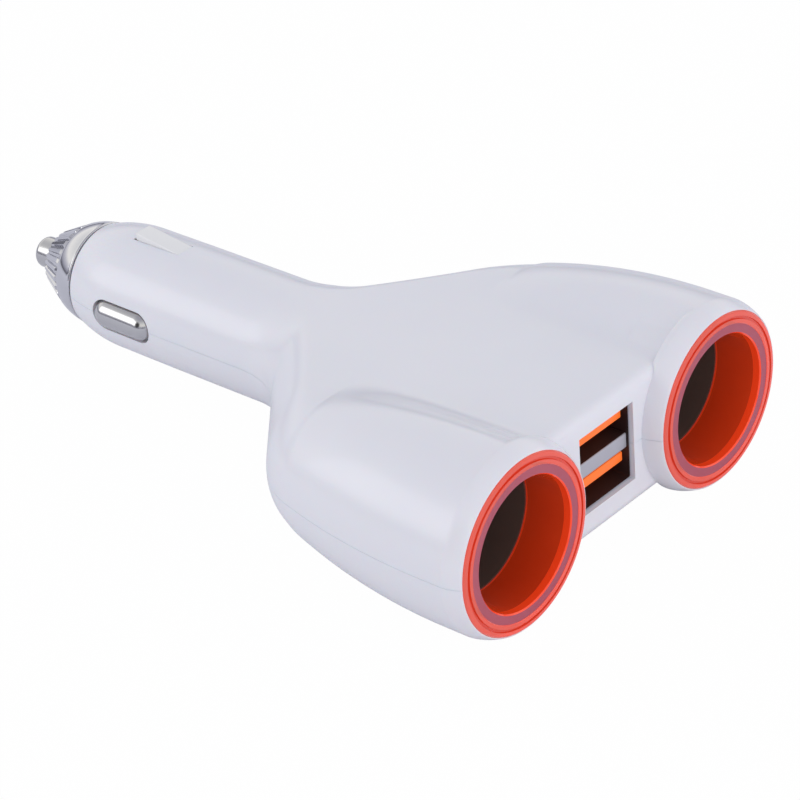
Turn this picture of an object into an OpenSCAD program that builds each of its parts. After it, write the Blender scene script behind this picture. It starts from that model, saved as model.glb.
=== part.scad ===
// Twin socket splitter with a plug and two stacked USB ports, in millimetres.
// +Y runs along the plug to its tip, the sockets open towards -Y and +Z is up.
// The origin is on the plug's axis, where the barrel meets the body.
// Depths named d are measured from the front face of the light rings towards the tip.

/* [Body] */
// Distance between the two socket axes
socket_spacing = 48; // [44:1:56]
// Outer radius of a socket tube near its mouth
tube_r = 15.5; // [15:0.1:18]
// Wall of the moulded shells
wall = 1.5; // [1.2:0.1:2]
// Depth at which the tube's side starts to draw in
side_start = 8; // [6:0.5:12]
// Radius of the long bow of the tube's side
side_bow_r = 108; // [90:1:150]
// Angle that the long bow turns through
side_bow_deg = 15.2; // [12:0.2:18]
// Radius of the shoulder
shoulder_r = 17.6; // [14:0.2:20]
// Angle between the flare behind the neck and the X axis
flare_deg = 39.2; // [34:0.2:44]
// Radius of the hollow where the flare meets the barrel
neck_fillet_r = 3; // [2:0.5:5]
// Half thickness of the deck at the front
deck_half = 10.9; // [10.5:0.1:12]
// Width of the soft crease beside each tube
crease_w = 11; // [8:0.5:12]
// Depth of the front face between the tubes
front_d = 3.5; // [3:0.1:5]
// Radius of the deck's front edge
front_edge_r = 2; // [1:0.2:3]
// Depth of the tube's lip
lip_d = 0.2; // [0.1:0.1:1]
// Radius of the rounding on the tube's lip
lip_r = 0.8; // [0.4:0.1:1]
// Depth at which the tube's crest starts to fall
crest_fall_d = 38.5; // [34:0.5:42]
// Depth at which the tube's round end starts to narrow
end_narrow_d = 32.5; // [28:0.5:36]

/* [Plug] */
// Radius of the plug's barrel
barrel_r = 10.45; // [10.3:0.05:10.6]
// Length of the barrel's true cylinder
barrel_straight = 24; // [20:0.5:26]
// Distance from the neck to the start of the rounded barrel end
barrel_len = 36.6; // [36:0.1:40]
// Draft of the barrel beyond its true cylinder, on the radius
barrel_draft = 0.07; // [0.05:0.01:0.15]
// Length of the rounded barrel end
barrel_nose = 8; // [7:0.2:9]
// Radius of the curve along the rounded barrel end
nose_curve_r = 24; // [20:1:30]
// Wall of the barrel
barrel_wall = 1.6; // [1.3:0.1:2]
// Gap between the barrel end and the fuse cap
cap_gap = 0.3; // [0.2:0.05:0.5]
// Radius of the spigot that carries the fuse cap
spigot_r = 7.4; // [7:0.1:7.5]
// Length of the spigot
spigot_len = 3.4; // [3:0.1:3.6]

/* [Fuse cap] */
// Length of the cap's smooth band
band_len = 4.7; // [4.2:0.1:5.4]
// Radius at the front edge of the smooth band
band_r = 7.7; // [7.5:0.05:8.2]
// How far the smooth band bows out
band_bow = 0.2; // [0.1:0.05:0.3]
// Length of the step between the band and the ribs
step_len = 0.4; // [0.3:0.1:1]
// Radius where the ribs start
rib_back_r = 7.05; // [6.8:0.05:7.3]
// Length of the ribbed cone
cone_len = 5.2; // [4.6:0.1:6]
// Radius at the front of the ribbed cone
cone_tip_r = 4.3; // [4.2:0.1:4.8]
// Number of ribs
rib_count = 28; // [20:2:32]
// Width of a rib
rib_w = 0.8; // [0.6:0.05:0.9]
// Height of a rib above the cone
rib_h = 0.45; // [0.3:0.05:0.6]
// Thickness of the cap's front wall
cap_front_t = 1.4; // [1:0.1:1.8]

/* [Tip contact and fuse] */
// Radius of the pin
pin_r = 2.65; // [2.4:0.05:2.8]
// Length of the pin in front of the cap
pin_out = 5.2; // [4.8:0.1:6.5]
// Radius of the pin's domed corner
pin_corner_r = 1.5; // [1:0.1:2]
// Radius of the pin's flange
flange_r = 3.2; // [3.1:0.05:3.25]
// Thickness of the pin's flange
flange_t = 1.5; // [1:0.1:2]
// Inward travel of the tip contact
tip_travel = 2.5; // [1:0.1:3]
// Radius of the fuse
fuse_r = 3; // [2.9:0.05:3.1]
// Length of the fuse
fuse_len = 30; // [28:0.5:31]
// Length of a fuse end cap
fuse_cap_len = 5; // [4:0.5:7]
// Inner radius of the fuse tube
fuse_bore_r = 3.4; // [3.3:0.05:3.6]
// Wall of the fuse tube
fuse_tube_wall = 1.2; // [1:0.1:1.4]
// Thickness of the fuse tube's back wall
fuse_stop_t = 1.5; // [1:0.1:2]
// Distance from the neck to the fuse tube's back wall
fuse_stop_y = 7.5; // [6:0.1:8]
// Wire radius of the tip spring
spring_wire_r = 0.3; // [0.25:0.05:0.4]
// Turns of the tip spring
spring_turns = 6; // [5:1:8]

/* [Side contacts and latch] */
// Distance from the neck to the middle of a side slot
slot_y = 32.2; // [32:0.1:32.4]
// Length of a side slot
slot_len = 12.7; // [12:0.1:13]
// Width of a side slot
slot_w = 5.6; // [5:0.1:6]
// How far a side contact stands out of the barrel
contact_out = 1.05; // [0.8:0.05:1.2]
// Clearance between a side contact and its slot
contact_gap = 0.2; // [0.15:0.05:0.3]
// Sheet thickness of a side contact
contact_t = 0.4; // [0.3:0.05:0.5]
// Inward travel of a side contact
side_travel = 1.1; // [0.9:0.05:1.2]
// Distance from the neck to the latch's root
latch_y = 24.7; // [24.6:0.1:25]
// Length of the latch
latch_len = 10.8; // [10:0.1:11]
// Width of the latch
latch_w = 3.4; // [3:0.1:4.6]
// How far the latch's free end stands out of the barrel
latch_out = 1.1; // [0.5:0.05:1.2]
// Slit round the latch
latch_gap = 0.2; // [0.15:0.05:0.4]

/* [Sockets] */
// Inner radius of a socket
socket_r = 10.7; // [10.5:0.05:10.9]
// Outer radius of a ring's flange
ring_r = 14.15; // [14:0.05:14.3]
// Inner radius of a ring's front rim
rim_r = 12.3; // [12:0.1:12.6]
// Depth of the frosted step behind the rim
step_d = 1.8; // [1.4:0.1:2.4]
// Outer radius of a ring's sleeve
sleeve_r = 12.1; // [12:0.05:12.2]
// Depth of the sleeve's inner end
sleeve_d = 8.8; // [8:0.1:10]
// Sheet thickness of the metal sockets
can_t = 0.4; // [0.3:0.05:0.5]
// Depth at which the metal socket starts to taper
can_taper_d = 31; // [29:0.5:31.5]
// Depth of the metal socket's inner end
can_end_d = 39.5; // [38:0.5:41]
// Inner radius at the metal socket's inner end
can_end_r = 6.2; // [5.8:0.1:6.6]
// Clearance between parts that are pushed together
fit_gap = 0.1; // [0.05:0.01:0.15]

/* [USB ports] */
// Height of the connector's middle above the plug's axis
usb_z = 0.7; // [0.4:0.1:1]
// Width of the connector's shell
usb_w = 12.8; // [12.8:0.1:13.4]
// Height of the connector's shell
usb_h = 13.4; // [13.4:0.1:15]
// Length of the connector's shell
usb_len = 17; // [15:0.5:19]
// Sheet thickness of the connector's shell
usb_t = 0.3; // [0.25:0.05:0.35]
// Clearance between the connector and its window
usb_gap = 0.15; // [0.1:0.05:0.3]
// How far the shell's mouth lies behind the front face
usb_setback = 0.6; // [0.3:0.1:1]
// Height of one port
port_h = 5.12; // [5.12:0.01:5.4]
// Width of a tongue
tongue_w = 11.1; // [11:0.05:11.3]
// Thickness of a tongue
tongue_t = 1.7; // [1.6:0.05:1.84]
// Gap above a tongue
tongue_top_gap = 0.65; // [0.6:0.05:0.8]
// How far a tongue's tip lies behind the shell's mouth
tongue_setback = 0.9; // [0.6:0.1:1.5]
// Depth of a port from the shell's mouth
port_d = 12; // [11.5:0.1:12.6]

/* [Circuit] */
// Width of the circuit board
board_w = 21; // [19:0.5:21]
// Length of the circuit board
board_len = 41; // [38:0.5:42]
// Thickness of the circuit board
board_t = 1.6; // [1.4:0.1:1.7]
// Radius of the inductor
inductor_r = 5; // [4:0.1:5.2]
// Height of the inductor
inductor_h = 8; // [6:0.5:9]
// Radius of a capacitor
cap_can_r = 3.15; // [2.5:0.05:3.2]
// Height of a capacitor
cap_can_h = 9; // [7:0.5:10]
// Radius of a lead over its insulation
lead_r = 0.7; // [0.5:0.05:0.8]

/* [Screws] */
// Distance of each screw from the middle
screw_x = 8; // [7.6:0.1:8.6]
// Distance of the screws behind the neck
screw_back = 10; // [9:0.5:11]
// Radius of a screw's shank
screw_r = 1.2; // [1:0.05:1.3]
// Radius of a screw's head
screw_head_r = 2.4; // [2.2:0.05:2.5]
// Height of a screw's head
screw_head_h = 1.6; // [1.4:0.1:2]
// Radius of a screw boss
boss_r = 3.3; // [3.2:0.05:3.4]

/* [Hidden] */

$fn = 64;
eps = 0.01;
side = socket_spacing / 2;
half_w = side + tube_r;

// Outline of the body seen from above, from the mouth to the neck:
// a long bow, the shoulder, a straight flare and a hollow onto the barrel.
// It ends a hair outside the barrel, so that the barrel enters it with a clean edge.
neck_step = 0.12;
neck_r = barrel_r + neck_step;
flare_turn = 90 - flare_deg;
bow_end_d = side_start + side_bow_r * sin(side_bow_deg);
bow_end_x = half_w - side_bow_r * (1 - cos(side_bow_deg));
shoulder_d = bow_end_d - shoulder_r * sin(side_bow_deg);
shoulder_x = bow_end_x - shoulder_r * cos(side_bow_deg);
flare_d = shoulder_d + shoulder_r * sin(flare_turn);
flare_x = shoulder_x + shoulder_r * cos(flare_turn);
fillet_x = neck_r + neck_fillet_r * (1 - cos(flare_turn));
fillet_d = flare_d + (flare_x - fillet_x) / tan(flare_turn);
neck_d = fillet_d + neck_fillet_r * sin(flare_turn);

function half_width(d) =
    d < side_start ? half_w :
    d < bow_end_d ? half_w - side_bow_r + sqrt(pow(side_bow_r, 2) - pow(d - side_start, 2)) :
    d < flare_d ? shoulder_x + sqrt(pow(shoulder_r, 2) - pow(d - shoulder_d, 2)) :
    d < fillet_d ? flare_x - (d - flare_d) * tan(flare_turn) :
    d < neck_d ? neck_r + neck_fillet_r - sqrt(pow(neck_fillet_r, 2) - pow(neck_d - d, 2)) :
    neck_r;

// Share of the way from a depth to the neck, from 0 to 1
function to_neck(d, start) = max(0, min(1, (d - start) / (neck_d - start)));
crest_power = 1.12;
deck_power = 1.5;

// Height of the tube's crest and half width of the section's round end
function crest(d) =
    let(from_r = half_width(min(d, crest_fall_d)) - side)
    neck_r + (from_r - neck_r) * (1 - pow(to_neck(d, crest_fall_d), crest_power));
function end_r(d) =
    let(from_r = half_width(min(d, end_narrow_d)) - side)
    neck_r + (from_r - neck_r) * (1 - pow(to_neck(d, end_narrow_d), 2));

// Drop of the deck over its rounded front edge
function edge_drop(d) =
    let(back = max(0, front_edge_r - (d - front_d)))
    front_edge_r - sqrt(pow(front_edge_r, 2) - pow(back, 2));
function deck(d) =
    min(crest(d), deck_half + (neck_r - deck_half) * pow(to_neck(d, 0), deck_power)) - edge_drop(d);

// Height of the surface above the parting plane, for a section with the skin taken off
function surface_z(x, w, d, skin) =
    let(r_end = min(end_r(d) - skin, w),
        c = w - r_end,
        top = crest(d) - skin,
        low = min(top, deck(d) - skin),
        out = max(0, min(1, (x - c) / r_end)),
        away = min(1, (c - x) / crease_w))
    x > c ? top * sqrt(1 - out * out) : low + (top - low) * (1 + cos(180 * away)) / 2;
function section(d, skin, n) =
    let(w = half_width(d + 0.6 * skin) - skin)
    [for (k = [0 : 2 * n])
        let(x = w * cos(90 * k / n))
        [x, d - neck_d, k == 0 || k == 2 * n ? 0 : surface_z(abs(x), w, d, skin)]];

// Solid above the parting plane through a row of sections. The hollow front section is
// filled by a fan from the middle of each tube, the round back one by a single face.
module half_loft(depths, skin, n) {
    m = 2 * n + 1;
    rows = [for (d = depths) section(d, skin, n)];
    last = len(rows) - 1;
    front_y = depths[0] - neck_d;
    right = m * (last + 1);
    left = right + 1;
    points = concat([for (row = rows) each row], [[side, front_y, 0], [-side, front_y, 0]]);
    sides = [for (i = [0 : last - 1]) for (k = [0 : m - 2]) each
        [[i * m + k, i * m + k + 1, (i + 1) * m + k + 1],
         [i * m + k, (i + 1) * m + k + 1, (i + 1) * m + k]]];
    floors = [for (i = [1 : last - 1]) each
        [[i * m, (i + 1) * m, (i + 1) * m + m - 1], [i * m, (i + 1) * m + m - 1, i * m + m - 1]]];
    first_floor = [[0, m, 2 * m - 1], [2 * m - 1, m - 1, left], [2 * m - 1, left, right], [2 * m - 1, right, 0]];
    fans = [for (k = [0 : m - 2]) [k < n ? right : left, k + 1, k]];
    back = [for (k = [0 : m - 1]) last * m + k];
    polyhedron(points, concat(sides, floors, first_floor, fans, [[right, left, n], back]));
}

edge_depths = [for (a = [0, 25, 50, 72]) front_d + front_edge_r * (1 - cos(a))];
shoulder_start_d = side_start + 26.5;
tube_depths = [for (k = [0 : 7]) front_d + front_edge_r + (shoulder_start_d - front_d - front_edge_r) * k / 7];
shoulder_depths = [for (k = [1 : 7]) shoulder_start_d + (flare_d - shoulder_start_d) * k / 7];
flare_depths = [for (k = [1 : 6]) flare_d + (fillet_d - flare_d) * k / 6];
fillet_depths = [for (a = [0.66, 0.33, 0]) neck_d - neck_fillet_r * sin(flare_turn * a)];
outer_depths = concat(edge_depths, tube_depths, shoulder_depths, flare_depths, fillet_depths);
cavity_start = front_d + wall;
cavity_end = neck_d - 2;
cavity_depths = [for (k = [0 : 13]) cavity_start + (cavity_end - cavity_start) * k / 13];

// Turned and cut helpers along the plug's axis
module along_y() {
    rotate([-90, 0, 0]) children();
}
module turned(profile) {
    along_y() rotate_extrude() polygon(profile);
}
module turned_half(profile) {
    along_y() rotate([0, 0, 180]) rotate_extrude(angle = 180) polygon(profile);
}
module rod(r, y0, y1) {
    translate([0, y0, 0]) along_y() cylinder(r = r, h = y1 - y0);
}
module at_socket(s) {
    translate([s * side, -neck_d, 0]) children();
}

// Barrel, spigot and fuse tube
barrel_in_r = barrel_r - barrel_wall;
nose_y = barrel_len + barrel_nose;
spigot_y = nose_y + spigot_len;
fuse_tube_r = fuse_bore_r + fuse_tube_wall;
rivet_hole_r = 1.2;
barrel_end_r = barrel_r - barrel_draft;
nose_turn = asin(barrel_nose / nose_curve_r);
nose_r = barrel_end_r - nose_curve_r * (1 - cos(nose_turn));
nose_arc = [for (k = [0 : 6]) let(a = nose_turn * k / 6)
    [barrel_end_r - nose_curve_r * (1 - cos(a)), barrel_len + nose_curve_r * sin(a)]];
barrel_cavity_y = nose_y - barrel_wall - 0.4;
contact_plate_end = slot_y + slot_len / 2 + 1;
barrel_root = 1;
barrel_profile = concat(
    [[barrel_in_r, -barrel_root], [barrel_r, -barrel_root], [barrel_r, barrel_straight]],
    nose_arc,
    [[spigot_r, nose_y], [spigot_r, spigot_y], [fuse_bore_r, spigot_y],
     [fuse_bore_r, fuse_stop_y + fuse_stop_t], [rivet_hole_r, fuse_stop_y + fuse_stop_t],
     [rivet_hole_r, fuse_stop_y], [fuse_tube_r, fuse_stop_y],
     [fuse_tube_r, barrel_cavity_y], [barrel_in_r - 0.6, barrel_cavity_y],
     [barrel_in_r, contact_plate_end + 0.5]]);

// Tube mouth: the lip round the ring's flange and the collar round its sleeve
flange_seat_r = ring_r + fit_gap;
sleeve_seat_r = sleeve_r + fit_gap;
can_r = socket_r + can_t;
can_seat_r = can_r + fit_gap;
can_flange_t = 0.5;
collar_r = tube_r - wall + 0.3;
can_stop_d = sleeve_d + can_flange_t;
collar_d = can_stop_d + 1.7;
bead_r = tube_r + 0.1;
bead_d = front_d + 1;
flange_seat_d = front_d + 0.2;
lip_arc = [for (a = [90 : -22.5 : 0]) [bead_r - lip_r + lip_r * cos(a), lip_d + lip_r - lip_r * sin(a)]];
uncut_r = can_seat_r - 1;
lip_profile = concat([[uncut_r, bead_d], [uncut_r, lip_d]], lip_arc, [[bead_r, bead_d]]);
collar_profile = [[uncut_r, front_d + 0.4], [collar_r, front_d + 0.4], [collar_r, collar_d],
                  [uncut_r, collar_d]];
mouth_profile = [[0, 0], [flange_seat_r, 0], [flange_seat_r, flange_seat_d], [sleeve_seat_r, flange_seat_d],
                 [sleeve_seat_r, can_stop_d], [can_seat_r, can_stop_d], [can_seat_r, collar_d + 1],
                 [0, collar_d + 1]];

// Cradle rib behind the middle of each metal socket
cradle_d = 28.5;
cradle_t = 1.8;
cradle_r = half_width(cradle_d + cradle_t) - side - 0.7;

// Board, its posts and the connector's place
usb_mouth_y = front_d + usb_setback - neck_d;
board_top_z = usb_z - usb_h / 2;
board_front_y = usb_mouth_y + 1.4;
post_r = 1.5;
post_x = board_w / 2 - 2.2;
post_ys = [board_front_y + 22, board_front_y + board_len - 4];
window_w = usb_w + 2 * usb_gap;
window_h = usb_h + 2 * usb_gap;

// Screws
screw_y = -screw_back;
screw_d = neck_d - screw_back;
counterbore_z = -6.6;
counterbore_r = screw_head_r + 0.35;
screw_tip_z = 5.5;
boss_top_z = crest(screw_d) - 0.9;

module slots() {
    for (s = [-1, 1]) {
        span = slot_len - slot_w;
        translate([s * (barrel_r - 0.5) - 2.5, slot_y - span / 2, -slot_w / 2]) cube([5, span, slot_w]);
        for (e = [-1, 1])
            translate([s * (barrel_r - 0.5) - 2.5, slot_y + e * span / 2, 0])
                rotate([0, 90, 0]) cylinder(d = slot_w, h = 5);
    }
}

module shell_half() {
    difference() {
        union() {
            difference() {
                half_loft(outer_depths, 0, 14);
                half_loft(cavity_depths, wall, 8);
                rod(barrel_in_r - 0.15, -3.5, 1);
            }
            turned_half(barrel_profile);
            for (s = [-1, 1]) at_socket(s) {
                turned_half(lip_profile);
                turned_half(collar_profile);
                translate([0, cradle_d, 0]) turned_half([[can_seat_r, 0], [cradle_r, 0],
                                                         [cradle_r, cradle_t], [can_seat_r, cradle_t]]);
            }
            for (s = [-1, 1])
                translate([s * screw_x, screw_y, 0]) cylinder(r = boss_r, h = boss_top_z);
        }
        for (s = [-1, 1]) at_socket(s) turned(mouth_profile);
        slots();
    }
}

module window() {
    translate([-window_w / 2, front_d - 1 - neck_d, usb_z - window_h / 2])
        cube([window_w, wall + 1.5, window_h]);
}

module housing_upper() {
    color("whitesmoke") difference() {
        shell_half();
        window();
        translate([-latch_w / 2 - latch_gap, latch_y - latch_gap, barrel_in_r - 1.5])
            cube([latch_w + 2 * latch_gap, latch_len + 2 * latch_gap + 0.2, 5]);
        for (s = [-1, 1])
            translate([s * screw_x, screw_y, -1]) cylinder(r = screw_r + 0.05, h = screw_tip_z + 1.6);
    }
}

module housing_lower() {
    color("white") difference() {
        union() {
            mirror([0, 0, 1]) shell_half();
            for (s = [-1, 1]) for (y = post_ys)
                translate([s * post_x, y, -deck(y + neck_d) + wall / 2])
                    cylinder(r = post_r, h = board_top_z - board_t + deck(y + neck_d) - wall / 2);
        }
        window();
        for (s = [-1, 1]) translate([s * screw_x, screw_y, 0]) {
            translate([0, 0, -20]) cylinder(r = counterbore_r, h = 20 + counterbore_z);
            translate([0, 0, -20]) cylinder(r = screw_r + 0.2, h = 21);
        }
    }
}

// Sprung tongue on top of the barrel, rooted at its body end
latch_root_r = 0.8;
latch_root_z = barrel_r - 0.95;
latch_end_t = 1.5;
module barrel_latch() {
    end_z = barrel_r + latch_out;
    color("white") union() {
        translate([-latch_w / 2, latch_y + latch_root_r, latch_root_z])
            rotate([0, 90, 0]) cylinder(r = latch_root_r, h = latch_w, $fn = 32);
        translate([-latch_w / 2, 0, 0]) rotate([90, 0, 90]) linear_extrude(latch_w)
            polygon([[latch_y + latch_root_r, latch_root_z - latch_root_r],
                     [latch_y + latch_len, end_z - latch_end_t],
                     [latch_y + latch_len, end_z],
                     [latch_y + latch_root_r, latch_root_z + latch_root_r]]);
    }
}

// Metal cap over the fuse: a smooth band, a step and a ribbed cone
cap_y = nose_y + cap_gap;
cap_step_y = cap_y + band_len;
cap_cone_y = cap_step_y + step_len;
cap_end_y = cap_cone_y + cone_len;
cap_bore_r = spigot_r + fit_gap;
cap_hole_r = pin_r + 0.2;
cap_well_r = flange_r + 0.4;
module fuse_cap() {
    lean = atan((rib_back_r - cone_tip_r) / cone_len);
    rib_len = cone_len / cos(lean);
    back_r = nose_r - 0.05;
    band = [for (k = [0 : 4]) let(t = k / 4)
        [back_r + (band_r - back_r) * t + 4 * band_bow * t * (1 - t), cap_y + band_len * t]];
    color("silver") difference() {
        union() {
            turned(concat([[cap_bore_r, cap_y]], band,
                   [[rib_back_r, cap_cone_y], [cone_tip_r, cap_end_y], [cap_hole_r, cap_end_y],
                    [cap_hole_r, cap_end_y - cap_front_t], [cap_well_r, cap_end_y - cap_front_t],
                    [cap_well_r, spigot_y + cap_gap], [cap_bore_r, spigot_y + cap_gap]]));
            for (k = [0 : rib_count - 1])
                along_y() rotate([0, 0, 360 * k / rib_count])
                    translate([rib_back_r, 0, cap_cone_y]) rotate([0, -lean, 0])
                        translate([-0.6, -rib_w / 2, 0.1]) cube([0.6 + rib_h, rib_w, rib_len - 0.3]);
        }
        translate([-band_r, cap_step_y, -2]) cube([1.4, 1, 0.9], center = true);
    }
}

// Pin with its flange, turned from one bar
flange_y = cap_end_y - cap_front_t - flange_t - 0.05;
tip_y = cap_end_y + pin_out;
module tip_contact() {
    dome = [for (a = [0 : 15 : 90]) [pin_r - pin_corner_r + pin_corner_r * cos(a),
                                     tip_y - pin_corner_r + 0.8 * pin_corner_r * sin(a)]];
    crown = [0, tip_y];
    color("silver") turned(concat([[0, flange_y], [flange_r, flange_y], [flange_r, flange_y + flange_t],
                                   [pin_r, flange_y + flange_t]], dome, [crown]));
}

// Glass fuse and its two metal ends
fuse_y = flange_y - fuse_len;
fuse_end_t = 0.3;
module fuse_glass() {
    color("lightcyan") difference() {
        rod(fuse_r - fuse_end_t, fuse_y + 0.5, fuse_y + fuse_len - 0.5);
        rod(fuse_r - 2.5 * fuse_end_t, fuse_y + 1.5, fuse_y + fuse_len - 1.5);
    }
}
module fuse_ends() {
    color("silver") for (e = [0, 1]) {
        y0 = fuse_y + e * (fuse_len - fuse_cap_len);
        difference() {
            rod(fuse_r, y0, y0 + fuse_cap_len);
            rod(fuse_r - fuse_end_t, e == 0 ? y0 + 0.5 : y0 - 1, e == 0 ? y0 + fuse_cap_len + 1 :
                y0 + fuse_cap_len - 0.5);
        }
    }
}

// Round bar swept along a path, with a fixed reference direction
function unit(v) = v / norm(v);
function path_way(path, i) = unit(path[min(i + 1, len(path) - 1)] - path[max(i - 1, 0)]);
module swept(path, r, up, n = 8) {
    rings = [for (i = [0 : len(path) - 1])
        let(way = path_way(path, i), u = unit(cross(way, up)), v = cross(way, u))
        [for (k = [0 : n - 1]) path[i] + r * (u * cos(360 * k / n) + v * sin(360 * k / n))]];
    last = len(path) - 1;
    points = [for (ring = rings) each ring];
    sides = [for (i = [0 : last - 1]) for (k = [0 : n - 1])
        let(a = i * n + k, b = i * n + (k + 1) % n) each [[a, a + n, b + n], [a, b + n, b]]];
    polyhedron(points, concat(sides, [[for (k = [0 : n - 1]) k]],
                              [[for (k = [0 : n - 1]) last * n + n - 1 - k]]));
}

// Coil spring between the fuse and its seat
seat_y = fuse_stop_y + fuse_stop_t;
seat_t = 0.8;
spring_r = fuse_r - 0.7;
spring_y0 = seat_y + seat_t + spring_wire_r;
spring_y1 = fuse_y - spring_wire_r - 0.1;
module tip_spring() {
    steps = 12 * spring_turns;
    color("gray") swept([for (i = [0 : steps])
        let(a = 360 * spring_turns * i / steps)
        [spring_r * cos(a), spring_y0 + (spring_y1 - spring_y0) * i / steps, spring_r * sin(a)]],
        spring_wire_r, [0, 1, 0], 6);
}
module spring_seat() {
    color("goldenrod") union() {
        rod(fuse_r, seat_y, seat_y + seat_t);
        rod(rivet_hole_r - fit_gap, fuse_stop_y - 1.2, seat_y + eps);
        rod(rivet_hole_r + 0.6, fuse_stop_y - 1.2, fuse_stop_y);
    }
}

// Pressed side contact: a hollow bulge, a flange and a leg back to its lead
bulge_r = slot_w / 2 - contact_gap;
bulge_x = barrel_r + contact_out - bulge_r;
bulge_span = slot_len - slot_w;
flange_x = 8.05;
flange_half_w = 3.1;
leg_w = 3.4;
leg_y = 12;
leg_x = 6;
module pill(r, span) {
    translate([0, -span / 2, 0]) along_y() cylinder(r = r, h = span);
    for (e = [-1, 1]) translate([0, e * span / 2, 0]) sphere(r = r);
}
module side_contact(s) {
    back_x = flange_x - contact_t;
    plate_y0 = slot_y - slot_len / 2 - 1;
    plate_len = contact_plate_end - plate_y0;
    color("silver") mirror([s < 0 ? 1 : 0, 0, 0]) union() {
        difference() {
            union() {
                intersection() {
                    translate([bulge_x, slot_y, 0]) pill(bulge_r, bulge_span);
                    translate([flange_x - 0.1, slot_y - slot_len, -slot_w]) cube([6, 2 * slot_len, 2 * slot_w]);
                }
                translate([back_x, plate_y0, -flange_half_w])
                    cube([contact_t, plate_len, 2 * flange_half_w]);
            }
            translate([bulge_x, slot_y, 0]) pill(bulge_r - contact_t, bulge_span);
        }
        translate([0, 0, -leg_w / 2]) linear_extrude(leg_w)
            polygon([[back_x, plate_y0 + 0.5], [flange_x, plate_y0 + 0.5], [flange_x, plate_y0 - 3],
                     [leg_x + contact_t, leg_y + 4], [leg_x + contact_t, leg_y], [leg_x, leg_y],
                     [leg_x, leg_y + 4 + contact_t], [back_x, plate_y0 - 3 + contact_t]]);
    }
}

// Translucent ring: a round rim, a frosted step and a sleeve down the socket
module light_ring(s) {
    rim_w = ring_r - rim_r;
    rim = [for (a = [0 : 22.5 : 180]) [ring_r - rim_w / 2 + rim_w / 2 * cos(a),
                                       rim_w / 2 - rim_w / 2 * sin(a)]];
    color("orangered") at_socket(s) turned(concat([[sleeve_r, flange_seat_d], [ring_r, flange_seat_d]], rim,
        [[rim_r, step_d], [socket_r + 0.3, step_d], [socket_r, step_d + 0.3], [socket_r, sleeve_d],
         [sleeve_r, sleeve_d]]));
}

// Drawn metal socket, its insulating bush and its centre contact
bush_t = 2.2;
bush_flange_t = 1;
module socket_shell(s) {
    color("dimgray") at_socket(s) turned([[socket_r, sleeve_d], [sleeve_r, sleeve_d],
        [sleeve_r, can_stop_d], [can_r, can_stop_d], [can_r, can_taper_d],
        [can_end_r + can_t, can_end_d - can_t], [can_end_r + can_t, can_end_d],
        [can_end_r - 2, can_end_d], [can_end_r - 2, can_end_d - can_t],
        [can_end_r, can_end_d - can_t], [socket_r, can_taper_d]]);
}
module socket_insulator(s) {
    neck_r = can_end_r - 2 - fit_gap;
    color("saddlebrown") at_socket(s) turned([[1.6, can_end_d - bush_t], [can_end_r - 0.4, can_end_d - bush_t],
        [can_end_r - 0.4, can_end_d - can_t], [neck_r, can_end_d - can_t], [neck_r, can_end_d],
        [can_end_r, can_end_d], [can_end_r, can_end_d + bush_flange_t], [1.6, can_end_d + bush_flange_t]]);
}
module socket_contact(s) {
    head_d = can_end_d - bush_t;
    tail_d = can_end_d + bush_flange_t;
    color("goldenrod") at_socket(s) turned([[0, head_d - 1.6], [1.6, head_d - 1.4], [2.6, head_d - 0.8],
        [3, head_d], [1.5, head_d], [1.5, tail_d], [2.2, tail_d], [2.2, tail_d + 0.6], [0, tail_d + 0.6]]);
}

// Circuit board and what stands on it
module circuit_board() {
    color("darkgreen") translate([-board_w / 2, board_front_y, board_top_z - board_t])
        cube([board_w, board_len, board_t]);
}
usb_in_w = usb_w - 2 * usb_t;
usb_in_h = usb_h - 2 * usb_t;
divider_h = usb_in_h - 2 * port_h;
port_top = [usb_z + usb_in_h / 2, usb_z + usb_in_h / 2 - port_h - divider_h];
module usb_shell() {
    color("lightgray") translate([0, usb_mouth_y, usb_z]) difference() {
        translate([-usb_w / 2, 0, -usb_h / 2]) cube([usb_w, usb_len, usb_h]);
        translate([-usb_in_w / 2, -1, -usb_in_h / 2]) cube([usb_in_w, usb_len + 1 - usb_t, usb_in_h]);
    }
}
module usb_divider() {
    inset = 0.05;
    color("gray") translate([-usb_in_w / 2 + inset, usb_mouth_y + 0.4, port_top[0] - port_h - divider_h])
        difference() {
            cube([usb_in_w - 2 * inset, port_d - 0.4, divider_h]);
            translate([0.4, 0.4, 0.4]) cube([usb_in_w - 2 * inset - 0.8, port_d, divider_h - 0.8]);
        }
}
module usb_insulator() {
    inset = 0.05;
    color("darkorange") union() {
        translate([-usb_in_w / 2 + inset, usb_mouth_y + port_d, usb_z - usb_in_h / 2 + inset])
            cube([usb_in_w - 2 * inset, usb_len - usb_t - port_d - inset, usb_in_h - 2 * inset]);
        for (top = port_top)
            translate([-tongue_w / 2, usb_mouth_y + tongue_setback, top - tongue_top_gap - tongue_t])
                cube([tongue_w, port_d - tongue_setback + eps, tongue_t]);
    }
}
module usb_contacts() {
    strip_w = 1;
    strip_t = 0.2;
    color("gold") for (top = port_top) for (x = [-3.5, -1, 1, 3.5])
        translate([x - strip_w / 2, usb_mouth_y + tongue_setback + 1, top - tongue_top_gap - tongue_t - strip_t])
            cube([strip_w, port_d - tongue_setback - 1, strip_t]);
}

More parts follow.
